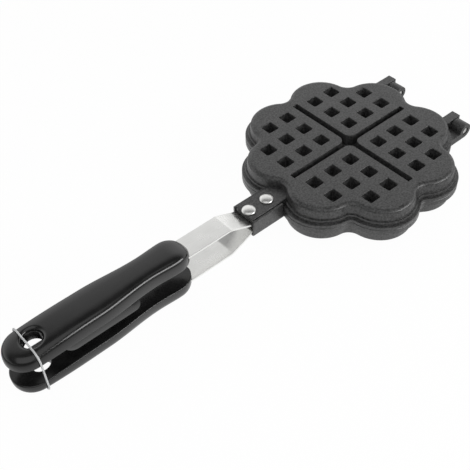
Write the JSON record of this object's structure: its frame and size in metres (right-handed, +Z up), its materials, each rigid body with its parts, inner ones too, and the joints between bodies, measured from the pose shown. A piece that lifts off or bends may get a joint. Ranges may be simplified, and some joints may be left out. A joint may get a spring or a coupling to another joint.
{
  "type": "stovetop waffle iron",
  "caption": "Hand-held hob waffle iron: two lobed cast plates with heart cavities, a slip hinge, riveted steel strips, moulded grips and a clear tie.",
  "frame": {"origin": "middle of the bounding box at its base, the crown of the lower grip; the plates' base is 4.8 mm above it", "axes": "+X runs along the handle from the grips to the hinge, +Z points up through the closed plates, and +Y is to the left of +X"},
  "size_m": [0.3586, 0.1472, 0.036],
  "materials": {
    "coated_cast_aluminium": "matt black non-stick coating over cast aluminium",
    "satin_stainless_steel": "satin stainless steel strip",
    "plated_steel": "bright plated steel",
    "black_phenolic": "glossy black moulded phenolic",
    "clear_nylon": "clear nylon strand"
  },
  "bodies": {
    "lower_side": {"lower_plate": "coated_cast_aluminium", "left_hinge_pin": "plated_steel", "right_hinge_pin": "plated_steel", "lower_strip": "satin_stainless_steel", "lower_inner_rivet": "plated_steel", "lower_outer_rivet": "plated_steel", "lower_grip": "black_phenolic"},
    "upper_side": {"upper_plate": "coated_cast_aluminium", "upper_strip": "satin_stainless_steel", "upper_inner_rivet": "plated_steel", "upper_outer_rivet": "plated_steel", "upper_grip": "black_phenolic"},
    "tie_loop": {"tie": "clear_nylon"}
  },
  "joints": [
    {"name": "opening", "type": "hinge", "parent": "lower_side", "child": "upper_side", "pos_m": [0.17355, 0, 0.0192], "axis": [0, 1, 0], "range_deg": [0, 180]},
    {"name": "tie_removal", "type": "slide", "parent": "lower_side", "child": "tie_loop", "axis": [-1, 0, 0], "range_m": [0, 0.03]}
  ]
}
